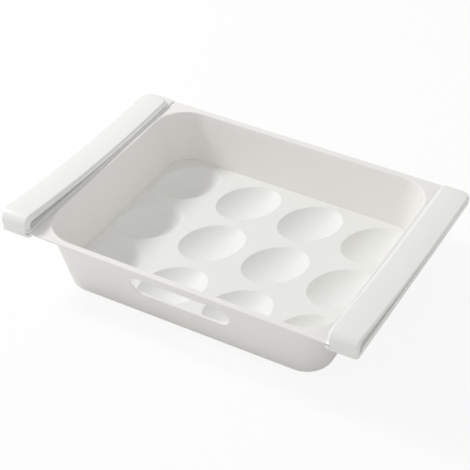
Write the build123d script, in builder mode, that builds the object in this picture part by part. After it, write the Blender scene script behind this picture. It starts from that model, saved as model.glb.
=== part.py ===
from build123d import *
import os

# Pull-out drawer for a dozen eggs that hangs below a refrigerator shelf on two clip rails.
# Millimetres, +Z up, front with the finger slot towards -Y. The origin is the middle of the
# cup grid, on the plane that the drawer stands on.

os.makedirs("parts", exist_ok=True)

# Egg insert: a plate with hollow cups, standing on the drawer's floor
cup_columns = 4
cup_rows = 3
cup_pitch_x = 56.0
cup_pitch_y = 60.4
cup_radius = 23.3
cup_depth = 8.7
cup_foot_radius = 14.5
insert_wall = 1.3
insert_gap = 0.3
post_radius = 4.5
post_offset_x = 102.5
post_offset_y = 30.2

# Drawer: a tub with walls that lean out, and a flat rim that runs in the rails
tray_wall = 2.0
tray_height = 56.5
base_width = 219.2
base_front = 84.3
base_rear = 95.9
side_lean = 10.3
front_lean = 17.0
rear_lean = 5.4
tray_corner = 25.0
base_edge_radius = 2.5
rim_width = 5.4
rim_thickness = 1.5
rim_corner = 3.0

# Finger slot in the front wall
slot_length = 82.4
slot_height = 18.3
slot_centre_height = 34.3

# Rails: a grooved runner below, and a long springy arm that clamps the shelf above it
rail_front = 106.0
rail_rear = 104.0
ledge_thickness = 2.1
lip_thickness = 1.1
groove_depth = 3.0
slide_gap = 0.25
groove_side_gap = 0.5
rail_corner = 8.0
arm_width = 21.9
arm_tip = 98.0
arm_low_point = 45.0
arm_gap = 0.3
arm_tip_lift = 0.9
arm_thickness = 2.3
arm_corner = 7.0
bend_thickness = 4.2
bend_gap = 6.6
bend_front = 106.7
bend_wall = 4.4
nose_length = 7.8
pocket_depth = 3.0
pocket_wall = 2.0
pocket_count = 6

# Sizes that follow from the ones above
cup_plane = tray_wall + cup_depth + insert_wall
cup_sphere = (cup_radius**2 + cup_depth**2) / (2 * cup_depth)
cup_centre = cup_plane + cup_sphere - cup_depth
opening_width = base_width + 2 * (side_lean - tray_wall)
opening_front = base_front + front_lean - tray_wall
opening_rear = base_rear + rear_lean - tray_wall
opening_depth = opening_front + opening_rear
opening_middle = (opening_rear - opening_front) / 2
groove_x = opening_width / 2 + rim_width + groove_side_gap
ledge_x = groove_x - groove_depth
arm_middle_x = groove_x + arm_width / 2
rail_outer_x = groove_x + arm_width
groove_bottom = tray_height - rim_thickness - slide_gap
groove_height = rim_thickness + 2 * slide_gap
groove_top = groove_bottom + groove_height
rail_bottom = groove_bottom - ledge_thickness
rail_top = groove_top + lip_thickness


def tub_block(floor_height, inset):
    # the block inside the drawer's leaning walls, from a height up to the rim, moved in by an inset
    low = floor_height / tray_height
    low_half = base_width / 2 + side_lean * low - inset
    low_front = base_front + front_lean * low - inset
    low_rear = base_rear + rear_lean * low - inset
    high_half = base_width / 2 + side_lean - inset
    high_front = base_front + front_lean - inset
    high_rear = base_rear + rear_lean - inset
    with BuildPart() as block:
        with BuildSketch(Plane.XZ):
            Polygon(
                (-low_half, floor_height),
                (low_half, floor_height),
                (high_half, tray_height),
                (-high_half, tray_height),
                align=None,
            )
        extrude(amount=base_width, both=True)
        with BuildSketch(Plane.YZ):
            Polygon(
                (-low_front, floor_height),
                (low_rear, floor_height),
                (high_rear, tray_height),
                (-high_front, tray_height),
                align=None,
            )
        extrude(amount=base_width, both=True, mode=Mode.INTERSECT)
        fillet(block.edges().filter_by(Plane.XY, reverse=True), tray_corner - inset)
    return block.part


tub_body = tub_block(0, 0)
tub_hollow = tub_block(tray_wall, tray_wall)
insert_space = tub_block(tray_wall, tray_wall + insert_gap)

# The slot is cut square to the leaning front wall
slot_plane = Plane(
    origin=(0, -base_front - front_lean * slot_centre_height / tray_height, slot_centre_height),
    x_dir=(1, 0, 0),
    z_dir=(0, -tray_height, -front_lean),
)

# The drawer: a tub that is a block with leaning walls and rounded corners, less a like hollow
with BuildPart() as drawer_tray:
    add(tub_body)
    fillet(drawer_tray.faces().sort_by(Axis.Z)[0].edges(), base_edge_radius)
    with BuildSketch(Plane.XY.offset(tray_height - rim_thickness)) as rim:
        with Locations((0, opening_middle)):
            RectangleRounded(opening_width + 2 * rim_width, opening_depth + 2 * rim_width, rim_corner)
    extrude(amount=rim_thickness)
    add(tub_hollow, mode=Mode.SUBTRACT)
    with BuildSketch(slot_plane) as slot:
        SlotOverall(slot_length, slot_height)
    extrude(amount=2 * tray_wall, both=True, mode=Mode.SUBTRACT)

# The egg insert: a thin plate whose edge follows the tub's walls. The cups are dished into it,
# and their tapered undersides and four posts stand on the tub's floor.
with BuildPart() as egg_insert:
    with BuildSketch(Plane.XY.offset(cup_plane - insert_wall)) as plate:
        Rectangle(2 * base_width, 2 * base_width)
    extrude(amount=insert_wall)
    with Locations((0, 0, tray_wall)):
        with GridLocations(cup_pitch_x, cup_pitch_y, cup_columns, cup_rows):
            Cone(
                cup_foot_radius,
                cup_radius + insert_wall,
                cup_depth,
                align=(Align.CENTER, Align.CENTER, Align.MIN),
            )
    with BuildSketch(Plane.XY.offset(tray_wall)) as post_feet:
        with GridLocations(2 * post_offset_x, 2 * post_offset_y, 2, 2):
            Circle(post_radius)
    extrude(amount=cup_depth)
    add(insert_space, mode=Mode.INTERSECT)
    with Locations((0, 0, cup_centre)):
        with GridLocations(cup_pitch_x, cup_pitch_y, cup_columns, cup_rows):
            Sphere(cup_sphere, rotation=(90, 0, 0), mode=Mode.SUBTRACT)

# The arm of a rail, drawn on its side view: a springy strip that bends over at the front.
# Seen from above, its tip has rounded corners.
hollow_y = bend_wall + bend_gap / 2 - bend_front
under_low = rail_top + arm_gap
over_low = under_low + arm_thickness
under_bend = rail_top + bend_gap
over_bend = under_bend + bend_thickness

with BuildPart() as arm:
    with BuildSketch(Plane.YZ.offset(groove_x)) as arm_side:
        with BuildLine() as arm_outline:
            under_tip = TangentArc(
                (arm_low_point, under_low), (arm_tip, under_low + arm_tip_lift), tangent=(1, 0)
            )
            under_span = TangentArc((arm_low_point, under_low), (hollow_y, under_bend), tangent=(-1, 0))
            hollow = TangentArc(under_span @ 1, (hollow_y, rail_top), tangent=under_span % 1)
            seat = Polyline(
                hollow @ 1, (hollow_y, groove_top), (-rail_front, groove_top), (-rail_front, rail_top)
            )
            over_tip = TangentArc(
                (arm_low_point, over_low), (arm_tip, over_low + arm_tip_lift), tangent=(1, 0)
            )
            over_span = TangentArc(
                (arm_low_point, over_low), (nose_length - rail_front, over_bend), tangent=(-1, 0)
            )
            nose = TangentArc(over_span @ 1, seat @ 1, tangent=over_span % 1)
            tip = Line(over_tip @ 1, under_tip @ 1)
        make_face()
    extrude(amount=arm_width)
    with BuildSketch(Plane.XY.offset(groove_top)) as arm_plan:
        with Locations((arm_middle_x, (arm_tip - bend_front) / 2 - arm_corner)):
            RectangleRounded(arm_width, arm_tip + bend_front + 2 * arm_corner, arm_corner)
    extrude(amount=2 * (over_bend - groove_top), mode=Mode.INTERSECT)

# The right rail: the grooved runner with the arm on it. The left rail is its mirror image.
with BuildPart() as right_rail:
    with BuildSketch(Plane.XY.offset(rail_bottom)) as runner:
        with Locations(((ledge_x + rail_outer_x) / 2, (rail_rear - rail_front) / 2)):
            Rectangle(rail_outer_x - ledge_x, rail_front + rail_rear)
    extrude(amount=rail_top - rail_bottom)
    runner_corners = right_rail.edges().filter_by(Axis.Z).filter_by_position(Axis.Y, rail_rear, rail_rear)
    fillet(runner_corners.sort_by(Axis.X)[-1], rail_corner)
    with BuildSketch(Plane.YZ.offset(ledge_x)) as groove:
        with Locations(((rail_rear - rail_front) / 2, groove_bottom + groove_height / 2)):
            Rectangle(rail_front + rail_rear, groove_height)
    extrude(amount=groove_depth, mode=Mode.SUBTRACT)
    with BuildSketch(Plane.XY.offset(rail_bottom)) as pockets:
        with Locations((arm_middle_x, (rail_rear - rail_front) / 2)):
            with GridLocations(0, (rail_front + rail_rear - pocket_wall) / pocket_count, 1, pocket_count):
                Rectangle(
                    arm_width - 2 * pocket_wall,
                    (rail_front + rail_rear - pocket_wall) / pocket_count - pocket_wall,
                )
    extrude(amount=pocket_depth, mode=Mode.SUBTRACT)
    add(arm.part)

with BuildPart() as left_rail:
    mirror(right_rail.part, about=Plane.YZ)

drawer_tray.part.label = "drawer_tray"
egg_insert.part.label = "egg_insert"
right_rail.part.label = "right_rail"
left_rail.part.label = "left_rail"
export_step(drawer_tray.part, "parts/drawer_tray.step")
export_step(egg_insert.part, "parts/egg_insert.step")
export_step(right_rail.part, "parts/right_rail.step")
export_step(left_rail.part, "parts/left_rail.step")
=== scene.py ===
from math import atan, atan2, cos, pi, radians, sin, sqrt, tan

import bmesh
import bpy
from mathutils import Matrix, Vector


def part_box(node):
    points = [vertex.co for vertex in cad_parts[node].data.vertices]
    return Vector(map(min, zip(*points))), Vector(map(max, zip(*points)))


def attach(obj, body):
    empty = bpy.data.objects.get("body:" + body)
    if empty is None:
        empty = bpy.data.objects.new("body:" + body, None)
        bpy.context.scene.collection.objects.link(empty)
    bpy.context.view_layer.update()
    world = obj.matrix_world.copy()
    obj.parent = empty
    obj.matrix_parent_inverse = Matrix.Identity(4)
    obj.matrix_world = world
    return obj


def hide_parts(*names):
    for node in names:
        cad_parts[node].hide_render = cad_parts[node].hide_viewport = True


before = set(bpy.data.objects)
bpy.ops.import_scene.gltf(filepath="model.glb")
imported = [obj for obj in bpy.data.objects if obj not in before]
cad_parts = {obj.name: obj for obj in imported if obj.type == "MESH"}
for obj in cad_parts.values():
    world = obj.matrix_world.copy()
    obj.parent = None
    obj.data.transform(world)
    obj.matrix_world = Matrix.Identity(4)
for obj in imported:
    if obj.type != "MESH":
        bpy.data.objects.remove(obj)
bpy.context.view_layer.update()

# Sizes below are in millimetres, and buildMesh turns them into metres. A narrow flat band beside
# a rounded edge keeps the shading of the face next to it even.
metre = 1000
weldDistance = 0.0005
flatBand = 0.3
smoothAngle = 40


def nodeBox(name):
    low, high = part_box(name)
    return low * metre, high * metre


trayLow, trayHigh = nodeBox("drawer_tray")
insertLow, insertHigh = nodeBox("egg_insert")
railLow, railHigh = nodeBox("right_rail")

# Camera: it stands in front and a little to the right, and looks down on the drawer
camera = {
    "eye": (401.4, -767.0, 702.1),
    "azimuth": 27.93,
    "elevation": 37.77,
    "roll": 1.2,
    "lens": 109.22,
    "sensor": 36.0,
    "nearest": 10.0,
}


def placeCamera():
    azimuth = radians(camera["azimuth"])
    elevation = radians(camera["elevation"])
    roll = radians(camera["roll"])
    back = Vector((sin(azimuth) * cos(elevation), -cos(azimuth) * cos(elevation), sin(elevation)))
    level = Vector((cos(azimuth), sin(azimuth), 0))
    right = level * cos(roll) + back.cross(level) * sin(roll)
    turn = Matrix((right, back.cross(right), back)).transposed()
    lens = bpy.data.cameras.new("camera")
    lens.lens = camera["lens"]
    lens.sensor_width = camera["sensor"]
    lens.clip_start = camera["nearest"] / metre
    seen = bpy.data.objects.new("camera", lens)
    seen.matrix_world = Matrix.Translation(Vector(camera["eye"]) / metre) @ turn.to_4x4()
    bpy.context.scene.collection.objects.link(seen)
    bpy.context.scene.camera = seen


placeCamera()
print("camera placed")


# Node trees: Python's operators on a wire add Math nodes, and NodeSet.add makes every other node
class Wire:
    def __init__(self, nodes, socket):
        self.nodes = nodes
        self.socket = socket

    def maths(self, operation, first, second):
        return self.nodes.add("ShaderNodeMath", {"operation": operation}, {0: first, 1: second})

    def __add__(self, other):
        return self.maths("ADD", self, other)

    def __radd__(self, other):
        return self.maths("ADD", other, self)

    def __sub__(self, other):
        return self.maths("SUBTRACT", self, other)

    def __rsub__(self, other):
        return self.maths("SUBTRACT", other, self)

    def __mul__(self, other):
        return self.maths("MULTIPLY", self, other)

    def __rmul__(self, other):
        return self.maths("MULTIPLY", other, self)


class NodeSet:
    def __init__(self, tree):
        self.tree = tree
        tree.nodes.clear()

    def add(self, kind, settings=None, values=None, output=0):
        node = self.tree.nodes.new(kind)
        for name, setting in (settings or {}).items():
            setattr(node, name, setting)
        for key, value in (values or {}).items():
            if isinstance(value, Wire):
                self.tree.links.new(value.socket, node.inputs[key])
            else:
                node.inputs[key].default_value = value
        return Wire(self, node.outputs[output]) if len(node.outputs) else None


# Plastics: each has a soft cloud in its colour and gloss, and the fine grain of the mould. The
# noises' scales are in cycles per metre.
plastics = {
    "drawer_plastic": {
        "pale": (0.885, 0.873, 0.852, 1),
        "deep": (0.86, 0.848, 0.827, 1),
        "roughness": 0.46,
        "grain": 0.05,
    },
    "insert_plastic": {
        "pale": (0.85, 0.851, 0.83, 1),
        "deep": (0.828, 0.829, 0.808, 1),
        "roughness": 0.54,
        "grain": 0.04,
    },
    "rail_plastic": {
        "pale": (0.885, 0.887, 0.873, 1),
        "deep": (0.86, 0.862, 0.85, 1),
        "roughness": 0.38,
        "grain": 0.03,
    },
}
finish = {
    "cloudScale": 14.0,
    "cloudDetail": 2.0,
    "glossScale": 45.0,
    "glossDetail": 3.0,
    "glossSpan": 0.12,
    "grainScale": 1900.0,
    "grainDetail": 2.0,
    "grainHeight": 0.04,
    "rippleScale": 110.0,
    "rippleDetail": 1.0,
    "rippleHeight": 0.12,
    "rippleShare": 0.12,
    "ior": 1.49,
}


def plastic(name, look):
    material = bpy.data.materials.new(name)
    material.use_nodes = True
    material.diffuse_color = look["pale"]
    nodes = NodeSet(material.node_tree)
    place = nodes.add("ShaderNodeTexCoord", output="Object")

    def noise(kind):
        scale, detail = finish[kind + "Scale"], finish[kind + "Detail"]
        return nodes.add("ShaderNodeTexNoise", {}, {"Vector": place, "Scale": scale, "Detail": detail})

    cloud = noise("cloud")
    colour = nodes.add(
        "ShaderNodeMix", {"data_type": "RGBA"}, {0: cloud, 6: look["pale"], 7: look["deep"]}, output=2
    )
    roughness = look["roughness"] + (noise("gloss") - 0.5) * finish["glossSpan"]
    ripple = nodes.add(
        "ShaderNodeBump",
        {},
        {
            "Strength": finish["rippleShare"],
            "Distance": finish["rippleHeight"] / metre,
            "Height": noise("ripple"),
        },
    )
    grain = nodes.add(
        "ShaderNodeBump",
        {},
        {
            "Strength": look["grain"],
            "Distance": finish["grainHeight"] / metre,
            "Height": noise("grain"),
            "Normal": ripple,
        },
    )
    surface = nodes.add(
        "ShaderNodeBsdfPrincipled",
        {},
        {"Base Color": colour, "Roughness": roughness, "Normal": grain, "IOR": finish["ior"]},
    )
    nodes.add("ShaderNodeOutputMaterial", {}, {"Surface": surface})
    return material


materials = {name: plastic(name, look) for name, look in plastics.items()}
print("plastics made:", len(materials))


# Mesh helpers
def arc(start, end, steps):
    # evenly spaced values from start to end, mostly the angles of an arc
    return [start + (end - start) * step / steps for step in range(steps + 1)]


def loft(shape, rings, skip=()):
    # joins rings of equal length with quads, but for the skipped ones, and returns their vertices
    made = [[shape.verts.new(point) for point in ring] for ring in rings]
    for level, (lower, upper) in enumerate(zip(made, made[1:])):
        count = len(lower)
        for column in range(count):
            following = (column + 1) % count
            if (level, column) not in skip:
                shape.faces.new((lower[column], lower[following], upper[following], upper[column]))
    return made


def loopEdges(shape, loop):
    edges = []
    for first, second in zip(loop, loop[1:] + loop[:1]):
        edges.append(shape.edges.get((first, second)) or shape.edges.new((first, second)))
    return edges


def buildMesh(name, shape):
    # millimetres become metres, normals point outwards, and round surfaces are shaded smooth
    bmesh.ops.remove_doubles(shape, verts=shape.verts, dist=weldDistance)
    bmesh.ops.recalc_face_normals(shape, faces=shape.faces)
    bmesh.ops.scale(shape, vec=(1 / metre,) * 3, verts=shape.verts)
    mesh = bpy.data.meshes.new(name)
    shape.to_mesh(mesh)
    shape.free()
    return shadeSmooth(mesh)


def shadeSmooth(mesh):
    mesh.shade_smooth()
    mesh.set_sharp_from_angle(angle=radians(smoothAngle))
    return mesh


def addObject(name, mesh):
    made = bpy.data.objects.new(name, mesh)
    bpy.context.scene.collection.objects.link(made)
    return made


def applyModifiers(source, name):
    # the evaluated object becomes a plain mesh, and the object with its modifiers goes
    evaluated = source.evaluated_get(bpy.context.evaluated_depsgraph_get())
    mesh = bpy.data.meshes.new_from_object(evaluated)
    mesh.name = name
    bpy.data.objects.remove(source)
    return mesh


def finishPiece(name, mesh, slot, body, node):
    mesh.materials.clear()
    mesh.materials.append(materials[slot])
    piece = addObject(name, mesh)
    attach(piece, body)
    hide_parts(node)
    print(name, "made with", len(mesh.polygons), "faces")


# Grid of one moulding: a mesh is repeated on a grid of columns and rows
def gridTree():
    tree = bpy.data.node_groups.new("mouldedGrid", "GeometryNodeTree")
    tree.is_modifier = True
    sockets = {}
    for name, kind in (
        ("Geometry", "NodeSocketGeometry"),
        ("Columns", "NodeSocketInt"),
        ("Rows", "NodeSocketInt"),
        ("Pitch X", "NodeSocketFloat"),
        ("Pitch Y", "NodeSocketFloat"),
        ("Middle", "NodeSocketVector"),
        ("Material", "NodeSocketMaterial"),
    ):
        sockets[name] = tree.interface.new_socket(name, in_out="INPUT", socket_type=kind)
    tree.interface.new_socket("Geometry", in_out="OUTPUT", socket_type="NodeSocketGeometry")
    nodes = NodeSet(tree)
    given = tree.nodes.new("NodeGroupInput")
    wires = {name: Wire(nodes, given.outputs[name]) for name in sockets}
    grid = nodes.add(
        "GeometryNodeMeshGrid",
        {},
        {
            "Size X": (wires["Columns"] - 1) * wires["Pitch X"],
            "Size Y": (wires["Rows"] - 1) * wires["Pitch Y"],
            "Vertices X": wires["Columns"],
            "Vertices Y": wires["Rows"],
        },
    )
    moved = nodes.add("GeometryNodeTransform", {}, {"Geometry": grid, "Translation": wires["Middle"]})
    repeated = nodes.add(
        "GeometryNodeInstanceOnPoints", {}, {"Points": moved, "Instance": wires["Geometry"]}
    )
    realised = nodes.add("GeometryNodeRealizeInstances", {}, {"Geometry": repeated})
    painted = nodes.add(
        "GeometryNodeSetMaterial", {}, {"Geometry": realised, "Material": wires["Material"]}
    )
    nodes.add("NodeGroupOutput", {}, {"Geometry": painted})
    return tree, {name: socket.identifier for name, socket in sockets.items()}


grids, gridInputs = gridTree()


def repeatOnGrid(name, mesh, slot, columns, rows, pitchX, pitchY, middle=(0, 0, 0)):
    source = addObject(name, mesh)
    modifier = source.modifiers.new("grid", "NODES")
    modifier.node_group = grids
    values = {
        "Columns": columns,
        "Rows": rows,
        "Pitch X": pitchX / metre,
        "Pitch Y": pitchY / metre,
        "Middle": [share / metre for share in middle],
        "Material": materials[slot],
    }
    for key, value in values.items():
        modifier[gridInputs[key]] = value
    source.update_tag()
    return applyModifiers(source, name)


# Drawer: a tub with walls that lean out, and a flat rim that runs in the rails
tray = {
    "wall": 2.0,
    "floor": 2.0,
    "sideLean": 10.3,
    "frontLean": 17.0,
    "rearLean": 5.4,
    "cornerLow": 20.5,
    "cornerHigh": 30.0,
    "cornerSteps": 16,
    "baseRound": 2.5,
    "baseSteps": 6,
    "floorRound": 1.0,
    "floorSteps": 5,
    "rimWidth": 5.4,
    "rimThickness": 1.5,
    "rimCorner": 3.0,
    "rimRound": 0.4,
    "rimSteps": 4,
    "underRimRound": 0.5,
    "underRimSteps": 3,
    "openingRound": 0.8,
    "openingSteps": 5,
    "slotLength": 82.4,
    "slotHeight": 18.3,
    "slotCentre": 34.3,
    "slotRound": 0.5,
    "slotRoundSteps": 4,
    "slotMargin": 6.0,
    "slotSteps": 14,
}
trayHeight = trayHigh.z


def planRing(z, half, front, rear, radius, marks=()):
    # a rounded rectangle seen from above, then marks along its front side
    steps = tray["cornerSteps"]
    ring = []
    for centreX, centreY, start in (
        (half - radius, radius - front, -90),
        (half - radius, rear - radius, 0),
        (radius - half, rear - radius, 90),
        (radius - half, radius - front, 180),
    ):
        for angle in arc(radians(start), radians(start + 90), steps):
            ring.append(Vector((centreX + radius * cos(angle), centreY + radius * sin(angle), z)))
    return ring + [Vector((mark, -front, z)) for mark in marks]


def wallRing(z, inset, bites=(0, 0, 0), marks=()):
    # the tub's outer wall at a height, moved in by an inset and by a further bite at each side
    drop = 1 - z / trayHeight
    out = tray["wall"] - tray["rimWidth"] - inset
    side, front, rear = bites
    corner = tray["cornerLow"] + (tray["cornerHigh"] - tray["cornerLow"]) * z / trayHeight
    return planRing(
        z,
        trayHigh.x + out - tray["sideLean"] * drop - side,
        out - trayLow.y - tray["frontLean"] * drop - front,
        trayHigh.y + out - tray["rearLean"] * drop - rear,
        corner - inset - side,
        marks,
    )


def rimRing(z, inset, marks):
    corner = tray["rimCorner"] - inset
    return planRing(z, trayHigh.x - inset, -trayLow.y - inset, trayHigh.y - inset, corner, marks)


def footBites(rounding, height, leans):
    # how far a rounded foot edge lies inside each leaning wall at a height
    bites = []
    for lean in leans:
        slope = atan(lean / trayHeight)
        middle = rounding * tan(slope) - rounding / cos(slope)
        reach = middle + sqrt(max(rounding**2 - (rounding - height) ** 2, 0))
        straight = height >= rounding * (1 - sin(slope))
        bites.append(0 if straight else height * tan(slope) - reach)
    return tuple(bites)


def buildTray():
    wall, rim, edge = tray["wall"], tray["rimThickness"], tray["rimRound"]
    leans = (tray["sideLean"], tray["frontLean"], tray["rearLean"])
    mark = tray["slotLength"] / 2 + tray["slotMargin"]
    marks = (-mark, mark)
    slope = atan(tray["frontLean"] / trayHeight)
    slotReach = tray["slotHeight"] / 2 + tray["slotMargin"] / 2
    slotLow = tray["slotCentre"] - slotReach
    slotHigh = tray["slotCentre"] + slotReach
    under = trayHeight - rim

    rings = []
    foot = tray["baseRound"]
    for angle in arc(0, pi / 2, tray["baseSteps"]):
        height = foot * (1 - cos(angle))
        rings.append(wallRing(height, 0, footBites(foot, height, leans), marks))
    outerBand = len(rings)
    rings += [wallRing(slotLow, 0, marks=marks), wallRing(slotHigh, 0, marks=marks)]
    fold = tray["underRimRound"]
    for angle in arc(0, pi / 2, tray["underRimSteps"]):
        rings.append(wallRing(under - fold + fold * sin(angle), fold * (cos(angle) - 1), marks=marks))
    for angle in arc(0, pi / 2, tray["rimSteps"]):
        rings.append(rimRing(under + edge * (1 - cos(angle)), edge * (1 - sin(angle)), marks))
    for angle in arc(pi / 2, 0, tray["rimSteps"]):
        rings.append(rimRing(trayHeight - edge * (1 - cos(angle)), edge * (1 - sin(angle)), marks))
    lip = tray["openingRound"]
    rings.append(wallRing(trayHeight, wall - lip - flatBand, marks=marks))
    for angle in arc(0, pi / 2, tray["openingSteps"]):
        inset = wall - lip * (1 - sin(angle))
        rings.append(wallRing(trayHeight - lip * (1 - cos(angle)), inset, marks=marks))
    innerBand = len(rings)
    rings += [wallRing(slotHigh, wall, marks=marks), wallRing(slotLow, wall, marks=marks)]
    inner = tray["floorRound"]
    for angle in arc(pi / 2, 0, tray["floorSteps"]):
        height = tray["floor"] + inner * (1 - cos(angle))
        bites = footBites(inner, height - tray["floor"], leans)
        rings.append(wallRing(height, wall, bites, marks))

    # a ring's two marks follow its four corners, and the slot's gap is the face between the marks
    firstMark = 4 * (tray["cornerSteps"] + 1)
    shape = bmesh.new()
    made = loft(shape, rings, skip={(outerBand, firstMark), (innerBand, firstMark)})
    shape.faces.new(made[0])
    shape.faces.new(made[-1])

    # the finger slot: loops through the wall, square to it, with rounded edges
    along = Vector((0, -sin(slope), cos(slope)))
    inward = Vector((0, cos(slope), sin(slope)))
    drop = 1 - tray["slotCentre"] / trayHeight
    faceY = trayLow.y + tray["rimWidth"] - wall + tray["frontLean"] * drop
    middle = Vector((0, faceY, tray["slotCentre"]))
    thickness = wall * cos(slope)
    straight = (tray["slotLength"] - tray["slotHeight"]) / 2

    def slotLoop(offset, depth):
        radius = tray["slotHeight"] / 2 + offset
        loop = []
        for side in (1, -1):
            for angle in arc(-pi / 2, pi / 2, tray["slotSteps"]):
                x, rise = side * (straight + radius * cos(angle)), side * radius * sin(angle)
                loop.append(middle + Vector((x, 0, 0)) + along * rise + inward * depth)
        return loop

    soft = tray["slotRound"]
    loops = [slotLoop(soft + flatBand, 0)]
    for angle in arc(0, pi / 2, tray["slotRoundSteps"]):
        loops.append(slotLoop(soft * (1 - sin(angle)), soft * (1 - cos(angle))))
    for angle in arc(pi / 2, 0, tray["slotRoundSteps"]):
        loops.append(slotLoop(soft * (1 - sin(angle)), thickness - soft * (1 - cos(angle))))
    loops.append(slotLoop(soft + flatBand, thickness))
    cut = loft(shape, loops)
    for band, loop in ((outerBand, cut[0]), (innerBand, cut[-1])):
        lower, upper = made[band], made[band + 1]
        corners = [lower[firstMark], lower[firstMark + 1], upper[firstMark + 1], upper[firstMark]]
        bmesh.ops.triangle_fill(
            shape, use_beauty=True, edges=loopEdges(shape, corners) + loopEdges(shape, loop)
        )
    return buildMesh("drawer", shape)


finishPiece("drawer", buildTray(), "drawer_plastic", "drawer", "drawer_tray")


# Egg insert: a thin plate with dished cups, tapered below, and four posts that stand in the tub.
# A cup is made round, and then drawn out into an oval that lies aslant. Each value that ends in Ease
# is a row of steps in radius and height, which leads a profile softly round a corner.
insert = {
    "columns": 4,
    "rows": 3,
    "pitchX": 55.9,
    "pitchY": 60.5,
    "middle": (1.35, 2.2, 0),
    "cupRadius": 23.3,
    "cupAlong": 28.1,
    "cupAcross": 20.8,
    "cupTurn": 33.0,
    "cupDepth": 8.7,
    "cupFoot": 14.5,
    "cupRound": 0.7,
    "cupRoundSteps": 5,
    "cupBand": 0.4,
    "cupFootEase": ((-0.6, 0.0), (-0.15, 0.15), (0.3, 0.5)),
    "cupJointEase": ((-0.6, -0.45), (-0.2, -0.12), (0.2, 0.0), (0.4, 0.0)),
    "plate": 1.3,
    "gap": 0.06,
    "edgeRound": 0.12,
    "edgeSteps": 3,
    "postRadius": 4.5,
    "postPitch": 60.4,
    "leftPosts": (-102.5, 0, 0),
    "rightPosts": (102.5, 3.3, 0),
    "postMarkEase": ((-1.2, -0.12), (-0.6, -0.096), (0.0, -0.024), (0.4, 0.0), (0.8, 0.0)),
    "postFootEase": ((-0.4, 0.0), (-0.1, 0.1), (0.0, 0.4)),
    "postJointEase": ((0.0, -0.5), (0.15, -0.15), (0.5, 0.0), (0.8, 0.0)),
    "turnSteps": 64,
    "dishSteps": 14,
    "levelSlack": 0.01,
}
plateTop = insertHigh.z
plateUnder = plateTop - insert["plate"]


def spin(shape, profile, closeFirst):
    # turns a profile of (radius, height) about the vertical axis
    turns = [2 * pi * step / insert["turnSteps"] for step in range(insert["turnSteps"])]
    rings = []
    for radius, z in profile:
        rings.append([Vector((radius * cos(turn), radius * sin(turn), z)) for turn in turns])
    made = loft(shape, rings)
    if closeFirst:
        shape.faces.new(made[0])
    return made


def eased(radius, height, steps):
    return [(radius + across, height + rise) for across, rise in steps]


def cupMesh():
    radius, depth, rounding = insert["cupRadius"], insert["cupDepth"], insert["cupRound"]
    ball = (radius**2 + depth**2) / (2 * depth)
    centre = plateTop - depth + ball
    ringRadius = sqrt((ball + rounding) ** 2 - (centre - plateTop + rounding) ** 2)
    reach = atan2(ringRadius, centre - plateTop + rounding)
    dish = []
    for angle in arc(reach / insert["dishSteps"], reach, insert["dishSteps"] - 1):
        dish.append((ball * sin(angle), centre - ball * cos(angle)))
    for angle in arc(reach, 0, insert["cupRoundSteps"])[1:]:
        dish.append((ringRadius - rounding * sin(angle), plateTop - rounding + rounding * cos(angle)))
    dish.append((ringRadius + insert["cupBand"], plateTop))
    shape = bmesh.new()
    made = spin(shape, dish, False)
    pole = shape.verts.new((0, 0, plateTop - depth))
    for first, second in zip(made[0], made[0][1:] + made[0][:1]):
        shape.faces.new((pole, second, first))
    taper = eased(insert["cupFoot"], insertLow.z, insert["cupFootEase"])
    taper += eased(radius, plateUnder, insert["cupJointEase"])
    spin(shape, taper, True)
    turn = Matrix.Rotation(-radians(insert["cupTurn"]), 4, "Z")
    draw = Matrix.Diagonal((insert["cupAcross"] / radius, insert["cupAlong"] / radius, 1, 1))
    bmesh.ops.transform(shape, matrix=turn @ draw @ turn.transposed(), verts=shape.verts)
    return buildMesh("cup", shape)


def postMesh():
    # a post below the plate, and the faint round mark that it leaves on the plate's top
    radius = insert["postRadius"]
    post = eased(radius, insertLow.z, insert["postFootEase"])
    post += eased(radius, plateUnder, insert["postJointEase"])
    shape = bmesh.new()
    spin(shape, eased(radius, plateTop, insert["postMarkEase"]), True)
    spin(shape, post, True)
    return buildMesh("post", shape)


def buildInsert():
    # the plate is filled in between its edge and the open rings of the cups and posts
    slot, pitch = "insert_plastic", insert["postPitch"]
    columns, rows, pitchX, pitchY = (insert[name] for name in ("columns", "rows", "pitchX", "pitchY"))
    cups = repeatOnGrid("cups", cupMesh(), slot, columns, rows, pitchX, pitchY, insert["middle"])
    shape = bmesh.new()
    shape.from_mesh(cups)
    for side in ("leftPosts", "rightPosts"):
        shape.from_mesh(repeatOnGrid(side, postMesh(), slot, 1, 2, pitch, pitch, insert[side]))
    bmesh.ops.scale(shape, vec=(metre,) * 3, verts=shape.verts)
    bmesh.ops.remove_doubles(shape, verts=shape.verts, dist=weldDistance)
    inset, rounding, steps = tray["wall"] + insert["gap"], insert["edgeRound"], insert["edgeSteps"]
    rings = [wallRing(plateUnder, inset + rounding + flatBand)]
    for angle in arc(0, pi / 2, steps):
        bite = rounding * (1 - cos(angle))
        rings.append(wallRing(plateUnder + bite, inset + rounding * (1 - sin(angle))))
    for angle in arc(pi / 2, 0, steps):
        bite = rounding * (1 - cos(angle))
        rings.append(wallRing(plateTop - bite, inset + rounding * (1 - sin(angle))))
    rings.append(wallRing(plateTop, inset + rounding + flatBand))
    openEdges = [edge for edge in shape.edges if edge.is_boundary]
    made = loft(shape, rings)
    for ring, height in ((made[0], plateUnder), (made[-1], plateTop)):
        around = [edge for edge in openEdges if abs(edge.verts[0].co.z - height) < insert["levelSlack"]]
        bmesh.ops.triangle_fill(shape, use_beauty=True, edges=around + loopEdges(shape, ring))
    return buildMesh("insert", shape)


finishPiece("egg_insert_dished", buildInsert(), "insert_plastic", "insert", "egg_insert")


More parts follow.
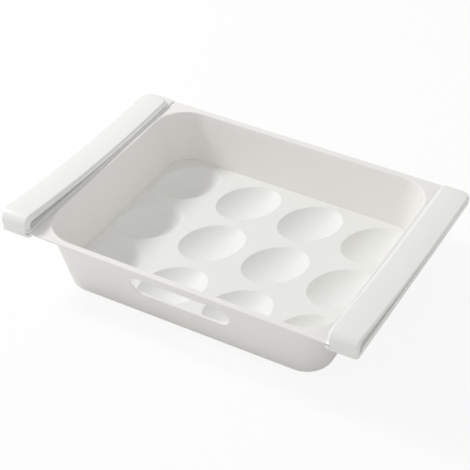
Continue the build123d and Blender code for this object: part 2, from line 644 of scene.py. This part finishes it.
# Rails: a grooved runner below, and a long springy arm that bends over it at the front
rail = {
    "front": 106.0,
    "rear": 104.0,
    "ledge": 2.1,
    "lip": 1.1,
    "lipEdge": 0.3,
    "grooveHeight": 2.0,
    "grooveDepth": 3.0,
    "rearCorner": 8.0,
    "rearSteps": 14,
    "frontCorner": 2.6,
    "frontSteps": 8,
    "noseCorner": 2.8,
    "noseSteps": 5,
    "runnerRound": 0.35,
    "runnerSteps": 3,
    "sharpAngle": 50,
    "sliver": 0.002,
    "armTip": 98.0,
    "armLowPoint": 45.0,
    "armGap": 0.3,
    "armTipLift": 0.9,
    "armThickness": 2.3,
    "armCorner": 7.0,
    "armCornerSteps": 14,
    "armRoundOver": 0.9,
    "armRoundUnder": 0.4,
    "armRoundSteps": 5,
    "leastRound": 0.3,
    "armSlant": 2.2,
    "spanSteps": 28,
    "tipSteps": 6,
    "bendThickness": 4.2,
    "bendGap": 6.6,
    "bendWall": 4.4,
    "bendSteps": 20,
    "noseLength": 7.8,
    "sink": 0.85,
    "seatInset": 0.4,
    "pocketDepth": 3.0,
    "pocketWall": 2.0,
    "pocketCount": 6,
    "pocketCorner": 1.5,
    "pocketSteps": 5,
    "pocketOverrun": 1.0,
}
grooveX = railLow.x + rail["grooveDepth"]
grooveBottom = railLow.z + rail["ledge"]
grooveTop = grooveBottom + rail["grooveHeight"]
railTop = grooveTop + rail["lip"]


def tangentArc(start, end, tangent, steps):
    # points of the arc that leaves start along tangent and ends at end, all as (y, z)
    along = Vector(tangent).normalized()
    across = Vector((-along.y, along.x))
    chord = Vector(end) - Vector(start)
    lead = atan2(chord.dot(across), chord.dot(along))
    radius = chord.length / (2 * sin(lead))
    points = []
    for turn in arc(0, 2 * lead, steps):
        reach, rise = radius * sin(turn), radius * (1 - cos(turn))
        points.append(Vector(start) + along * reach + across * rise)
    heading = along * cos(2 * lead) + across * sin(2 * lead)
    return points, heading


def armSection(under, over, left, right, topRound, lowRound, outerRound=None):
    # a rounded rectangle across the arm, from its underside point to its upper side point,
    # whose inner side slants out towards the underside
    depth = (over - under).length
    rise = (over - under) / depth
    ring = []
    for x, height, radius, start in (
        (right, 0, lowRound, -90),
        (right, depth, outerRound or topRound, 0),
        (left, depth, topRound, 90),
        (left, 0, lowRound, 180),
    ):
        slant = rail["armSlant"] if height == 0 else 0
        middleX = x - radius if x == right else x + radius - slant
        middleZ = height + radius if height == 0 else height - radius
        for angle in arc(radians(start), radians(start + 90), rail["armRoundSteps"]):
            place = under + rise * (middleZ + radius * sin(angle))
            ring.append(Vector((middleX + radius * cos(angle), place.x, place.y)))
    return ring


def armMesh():
    bendUnder = railTop + rail["bendGap"]
    bendOver = bendUnder + rail["bendThickness"]
    lowUnder = railTop + rail["armGap"]
    lowOver = lowUnder + rail["armThickness"]
    hollowY = railLow.y + rail["bendWall"] + rail["bendGap"] / 2
    noseY = rail["noseLength"] - rail["front"]
    lowPoint, spanSteps, bendSteps = rail["armLowPoint"], rail["spanSteps"], rail["bendSteps"]
    spanUnder, headingUnder = tangentArc((lowPoint, lowUnder), (hollowY, bendUnder), (-1, 0), spanSteps)
    hollow, _ = tangentArc(spanUnder[-1], (hollowY, railTop), headingUnder, bendSteps)
    spanOver, headingOver = tangentArc((lowPoint, lowOver), (noseY, bendOver), (-1, 0), spanSteps)
    nose, _ = tangentArc(spanOver[-1], (-rail["front"], railTop), headingOver, bendSteps)

    def tipHeight(lowest, y):
        # the arm rises again behind its low point, as part of a wide circle
        reach = rail["armTip"] - lowPoint
        bow = (reach**2 + rail["armTipLift"] ** 2) / (2 * rail["armTipLift"])
        return lowest + bow - sqrt(bow**2 - (y - lowPoint) ** 2)

    left, right = grooveX, railHigh.x
    over, low = rail["armRoundOver"], rail["armRoundUnder"]
    inset, sink = rail["seatInset"], rail["sink"]

    # pairs of points below and above, from the seat that is sunk in the runner up to the low point,
    # with the outer corner of each section, which shrinks from the runner's to the arm's
    pairs = [(hollow[-1] - Vector((inset, sink)), nose[-1] + Vector((inset, -sink)))]
    pairs += list(zip(hollow[::-1], nose[::-1]))
    corners = [rail["noseCorner"]] + arc(rail["noseCorner"], over, len(hollow) - 1)
    pairs += list(zip(spanUnder[::-1], spanOver[::-1]))[1:]
    corners += [over] * (len(pairs) - len(corners))
    rings = []
    for (first, second), outer in zip(pairs, corners):
        rings.append(armSection(first, second, left, right, over, low, outer))
    corner, tip = rail["armCorner"], rail["armTip"]
    for y in arc(lowPoint, tip - corner, rail["tipSteps"])[1:]:
        first, second = Vector((y, tipHeight(lowUnder, y))), Vector((y, tipHeight(lowOver, y)))
        rings.append(armSection(first, second, left, right, over, low))
    for angle in arc(0, pi / 2, rail["armCornerSteps"])[1:]:
        y = tip - corner + corner * sin(angle)
        narrow = corner * (1 - cos(angle))
        past = max(0, (y - tip + over) / over)
        fade = sqrt(max(0, 1 - past**2))
        rounding = max(fade, rail["leastRound"])
        first = Vector((y, tipHeight(lowUnder, y) + low * (1 - fade)))
        second = Vector((y, tipHeight(lowOver, y) - over * (1 - fade)))
        rings.append(
            armSection(first, second, left + narrow, right - narrow, over * rounding, low * rounding)
        )
    shape = bmesh.new()
    made = loft(shape, rings)
    shape.faces.new(made[0])
    shape.faces.new(made[-1])
    return buildMesh("arm", shape)


def runnerMesh():
    def outline(inner, z):
        # seen from above, with the two front corners and the rear outer corner rounded
        outer, front, rear = railHigh.x, -rail["front"], rail["rear"]
        small, nose, corner = rail["frontCorner"], rail["noseCorner"], rail["rearCorner"]
        points = []
        for middleX, middleY, radius, start, steps in (
            (inner + small, front + small, small, 180, rail["frontSteps"]),
            (outer - nose, front + nose, nose, -90, rail["noseSteps"]),
            (outer - corner, rear - corner, corner, 0, rail["rearSteps"]),
        ):
            for angle in arc(radians(start), radians(start + 90), steps):
                points.append(Vector((middleX + radius * cos(angle), middleY + radius * sin(angle), z)))
        return points + [Vector((inner, rear, z))]

    shape = bmesh.new()
    made = loft(
        shape,
        [
            outline(railLow.x, railLow.z),
            outline(railLow.x, grooveBottom),
            outline(grooveX, grooveBottom),
            outline(grooveX, grooveTop),
            outline(railLow.x, grooveTop),
            outline(railLow.x, grooveTop + rail["lipEdge"]),
            outline(grooveX, railTop),
        ],
    )
    shape.faces.new(made[0])
    shape.faces.new(made[-1])
    return buildMesh("runner", shape)


def pocketMesh(width, length):
    corner, rings = rail["pocketCorner"], []
    for z in (railLow.z - rail["pocketOverrun"], railLow.z + rail["pocketDepth"]):
        ring = []
        for sideX, sideY, start in ((1, -1, -90), (1, 1, 0), (-1, 1, 90), (-1, -1, 180)):
            for angle in arc(radians(start), radians(start + 90), rail["pocketSteps"]):
                x = sideX * (width / 2 - corner) + corner * cos(angle)
                ring.append(Vector((x, sideY * (length / 2 - corner) + corner * sin(angle), z)))
        rings.append(ring)
    shape = bmesh.new()
    made = loft(shape, rings)
    shape.faces.new(made[0])
    shape.faces.new(made[-1])
    return buildMesh("pocket", shape)


def buildRail():
    # one moulding: the arm joins the runner, the pockets come out below, and sharp edges are eased
    wall, count = rail["pocketWall"], rail["pocketCount"]
    pitch = (rail["front"] + rail["rear"] - wall) / count
    armWidth = railHigh.x - grooveX
    middle = (grooveX + armWidth / 2, (rail["rear"] - rail["front"]) / 2, 0)
    pocket = pocketMesh(armWidth - 2 * wall, pitch - wall)
    pockets = repeatOnGrid("pockets", pocket, "rail_plastic", 1, count, pitch, pitch, middle)
    runner = addObject("runner", runnerMesh())
    arm = addObject("arm", armMesh())
    cutter = addObject("cutter", pockets)
    for other, operation in ((arm, "UNION"), (cutter, "DIFFERENCE")):
        step = runner.modifiers.new(operation, "BOOLEAN")
        step.operation = operation
        step.solver = "EXACT"
        step.object = other
    ease = runner.modifiers.new("ease", "BEVEL")
    ease.width = rail["runnerRound"] / metre
    ease.segments = rail["runnerSteps"]
    ease.limit_method = "ANGLE"
    ease.angle_limit = radians(rail["sharpAngle"])
    ease.use_clamp_overlap = True
    mesh = applyModifiers(runner, "rail")
    bpy.data.objects.remove(arm)
    bpy.data.objects.remove(cutter)

    # slivers go, and faces with many corners are split into triangles
    shape = bmesh.new()
    shape.from_mesh(mesh)
    bmesh.ops.dissolve_degenerate(shape, dist=rail["sliver"] / metre, edges=shape.edges)
    wide = [face for face in shape.faces if len(face.verts) > 4]
    bmesh.ops.triangulate(shape, faces=wide, ngon_method="BEAUTY")
    shape.to_mesh(mesh)
    shape.free()
    return shadeSmooth(mesh)


def mirrored(mesh, name):
    shape = bmesh.new()
    shape.from_mesh(mesh)
    bmesh.ops.scale(shape, vec=(-1, 1, 1), verts=shape.verts)
    bmesh.ops.reverse_faces(shape, faces=shape.faces)
    copy = bpy.data.meshes.new(name)
    shape.to_mesh(copy)
    shape.free()
    return shadeSmooth(copy)


rightRail = buildRail()
leftRail = mirrored(rightRail, "leftRail")
finishPiece("right_rail_sprung", rightRail, "rail_plastic", "rails", "right_rail")
finishPiece("left_rail_sprung", leftRail, "rail_plastic", "rails", "left_rail")


# Studio: a pale floor that the camera sees almost white, a soft key lamp on the left, and even light
studio = {
    "floorSize": 6000.0,
    "floorColour": (0.92, 0.92, 0.91, 1),
    "floorRoughness": 0.9,
    "floorGlow": 0.86,
    "worldLight": 0.65,
    "worldColour": (1.0, 0.995, 0.985, 1),
    "white": (1, 1, 1, 1),
    "keyTarget": (0.0, 0.0, 20.0),
    "keyDirection": (-0.76, -0.04, 0.65),
    "keyDistance": 1600.0,
    "keySize": 360.0,
    "keyPower": 12.3,
}


def buildFloor():
    # the camera sees mostly a white glow, and the matt share keeps the object's soft shadow
    half = studio["floorSize"] / 2
    corners = ((-half, -half), (half, -half), (half, half), (-half, half))
    shape = bmesh.new()
    shape.faces.new([shape.verts.new((x, y, 0)) for x, y in corners])
    material = bpy.data.materials.new("paleFloor")
    material.use_nodes = True
    nodes = NodeSet(material.node_tree)
    matt = nodes.add(
        "ShaderNodeBsdfPrincipled",
        {},
        {"Base Color": studio["floorColour"], "Roughness": studio["floorRoughness"]},
    )
    white = nodes.add("ShaderNodeEmission", {}, {"Color": studio["white"], "Strength": 1.0})
    seen = nodes.add("ShaderNodeLightPath", output="Is Camera Ray") * studio["floorGlow"]
    mixed = nodes.add("ShaderNodeMixShader", {}, {0: seen, 1: matt, 2: white})
    nodes.add("ShaderNodeOutputMaterial", {}, {"Surface": mixed})
    mesh = buildMesh("floor", shape)
    mesh.materials.append(material)
    floor = addObject("floor", mesh)


def buildWorld():
    world = bpy.data.worlds.new("softLight")
    world.use_nodes = True
    nodes = NodeSet(world.node_tree)
    even = nodes.add(
        "ShaderNodeBackground", {}, {"Color": studio["worldColour"], "Strength": studio["worldLight"]}
    )
    white = nodes.add("ShaderNodeBackground", {}, {"Color": studio["white"], "Strength": 1.0})
    seen = nodes.add("ShaderNodeLightPath", output="Is Camera Ray")
    mixed = nodes.add("ShaderNodeMixShader", {}, {0: seen, 1: even, 2: white})
    nodes.add("ShaderNodeOutputWorld", {}, {"Surface": mixed})
    bpy.context.scene.world = world


def buildKey():
    direction = Vector(studio["keyDirection"]).normalized()
    lamp = bpy.data.lights.new("key", "AREA")
    lamp.shape = "DISK"
    lamp.size = studio["keySize"] / metre
    lamp.energy = studio["keyPower"]
    key = bpy.data.objects.new("key", lamp)
    place = (Vector(studio["keyTarget"]) + direction * studio["keyDistance"]) / metre
    key.matrix_world = Matrix.Translation(place) @ direction.to_track_quat("Z", "Y").to_matrix().to_4x4()
    bpy.context.scene.collection.objects.link(key)


buildFloor()
buildWorld()
buildKey()
bpy.context.scene.view_settings.view_transform = "Standard"
print("studio lit")
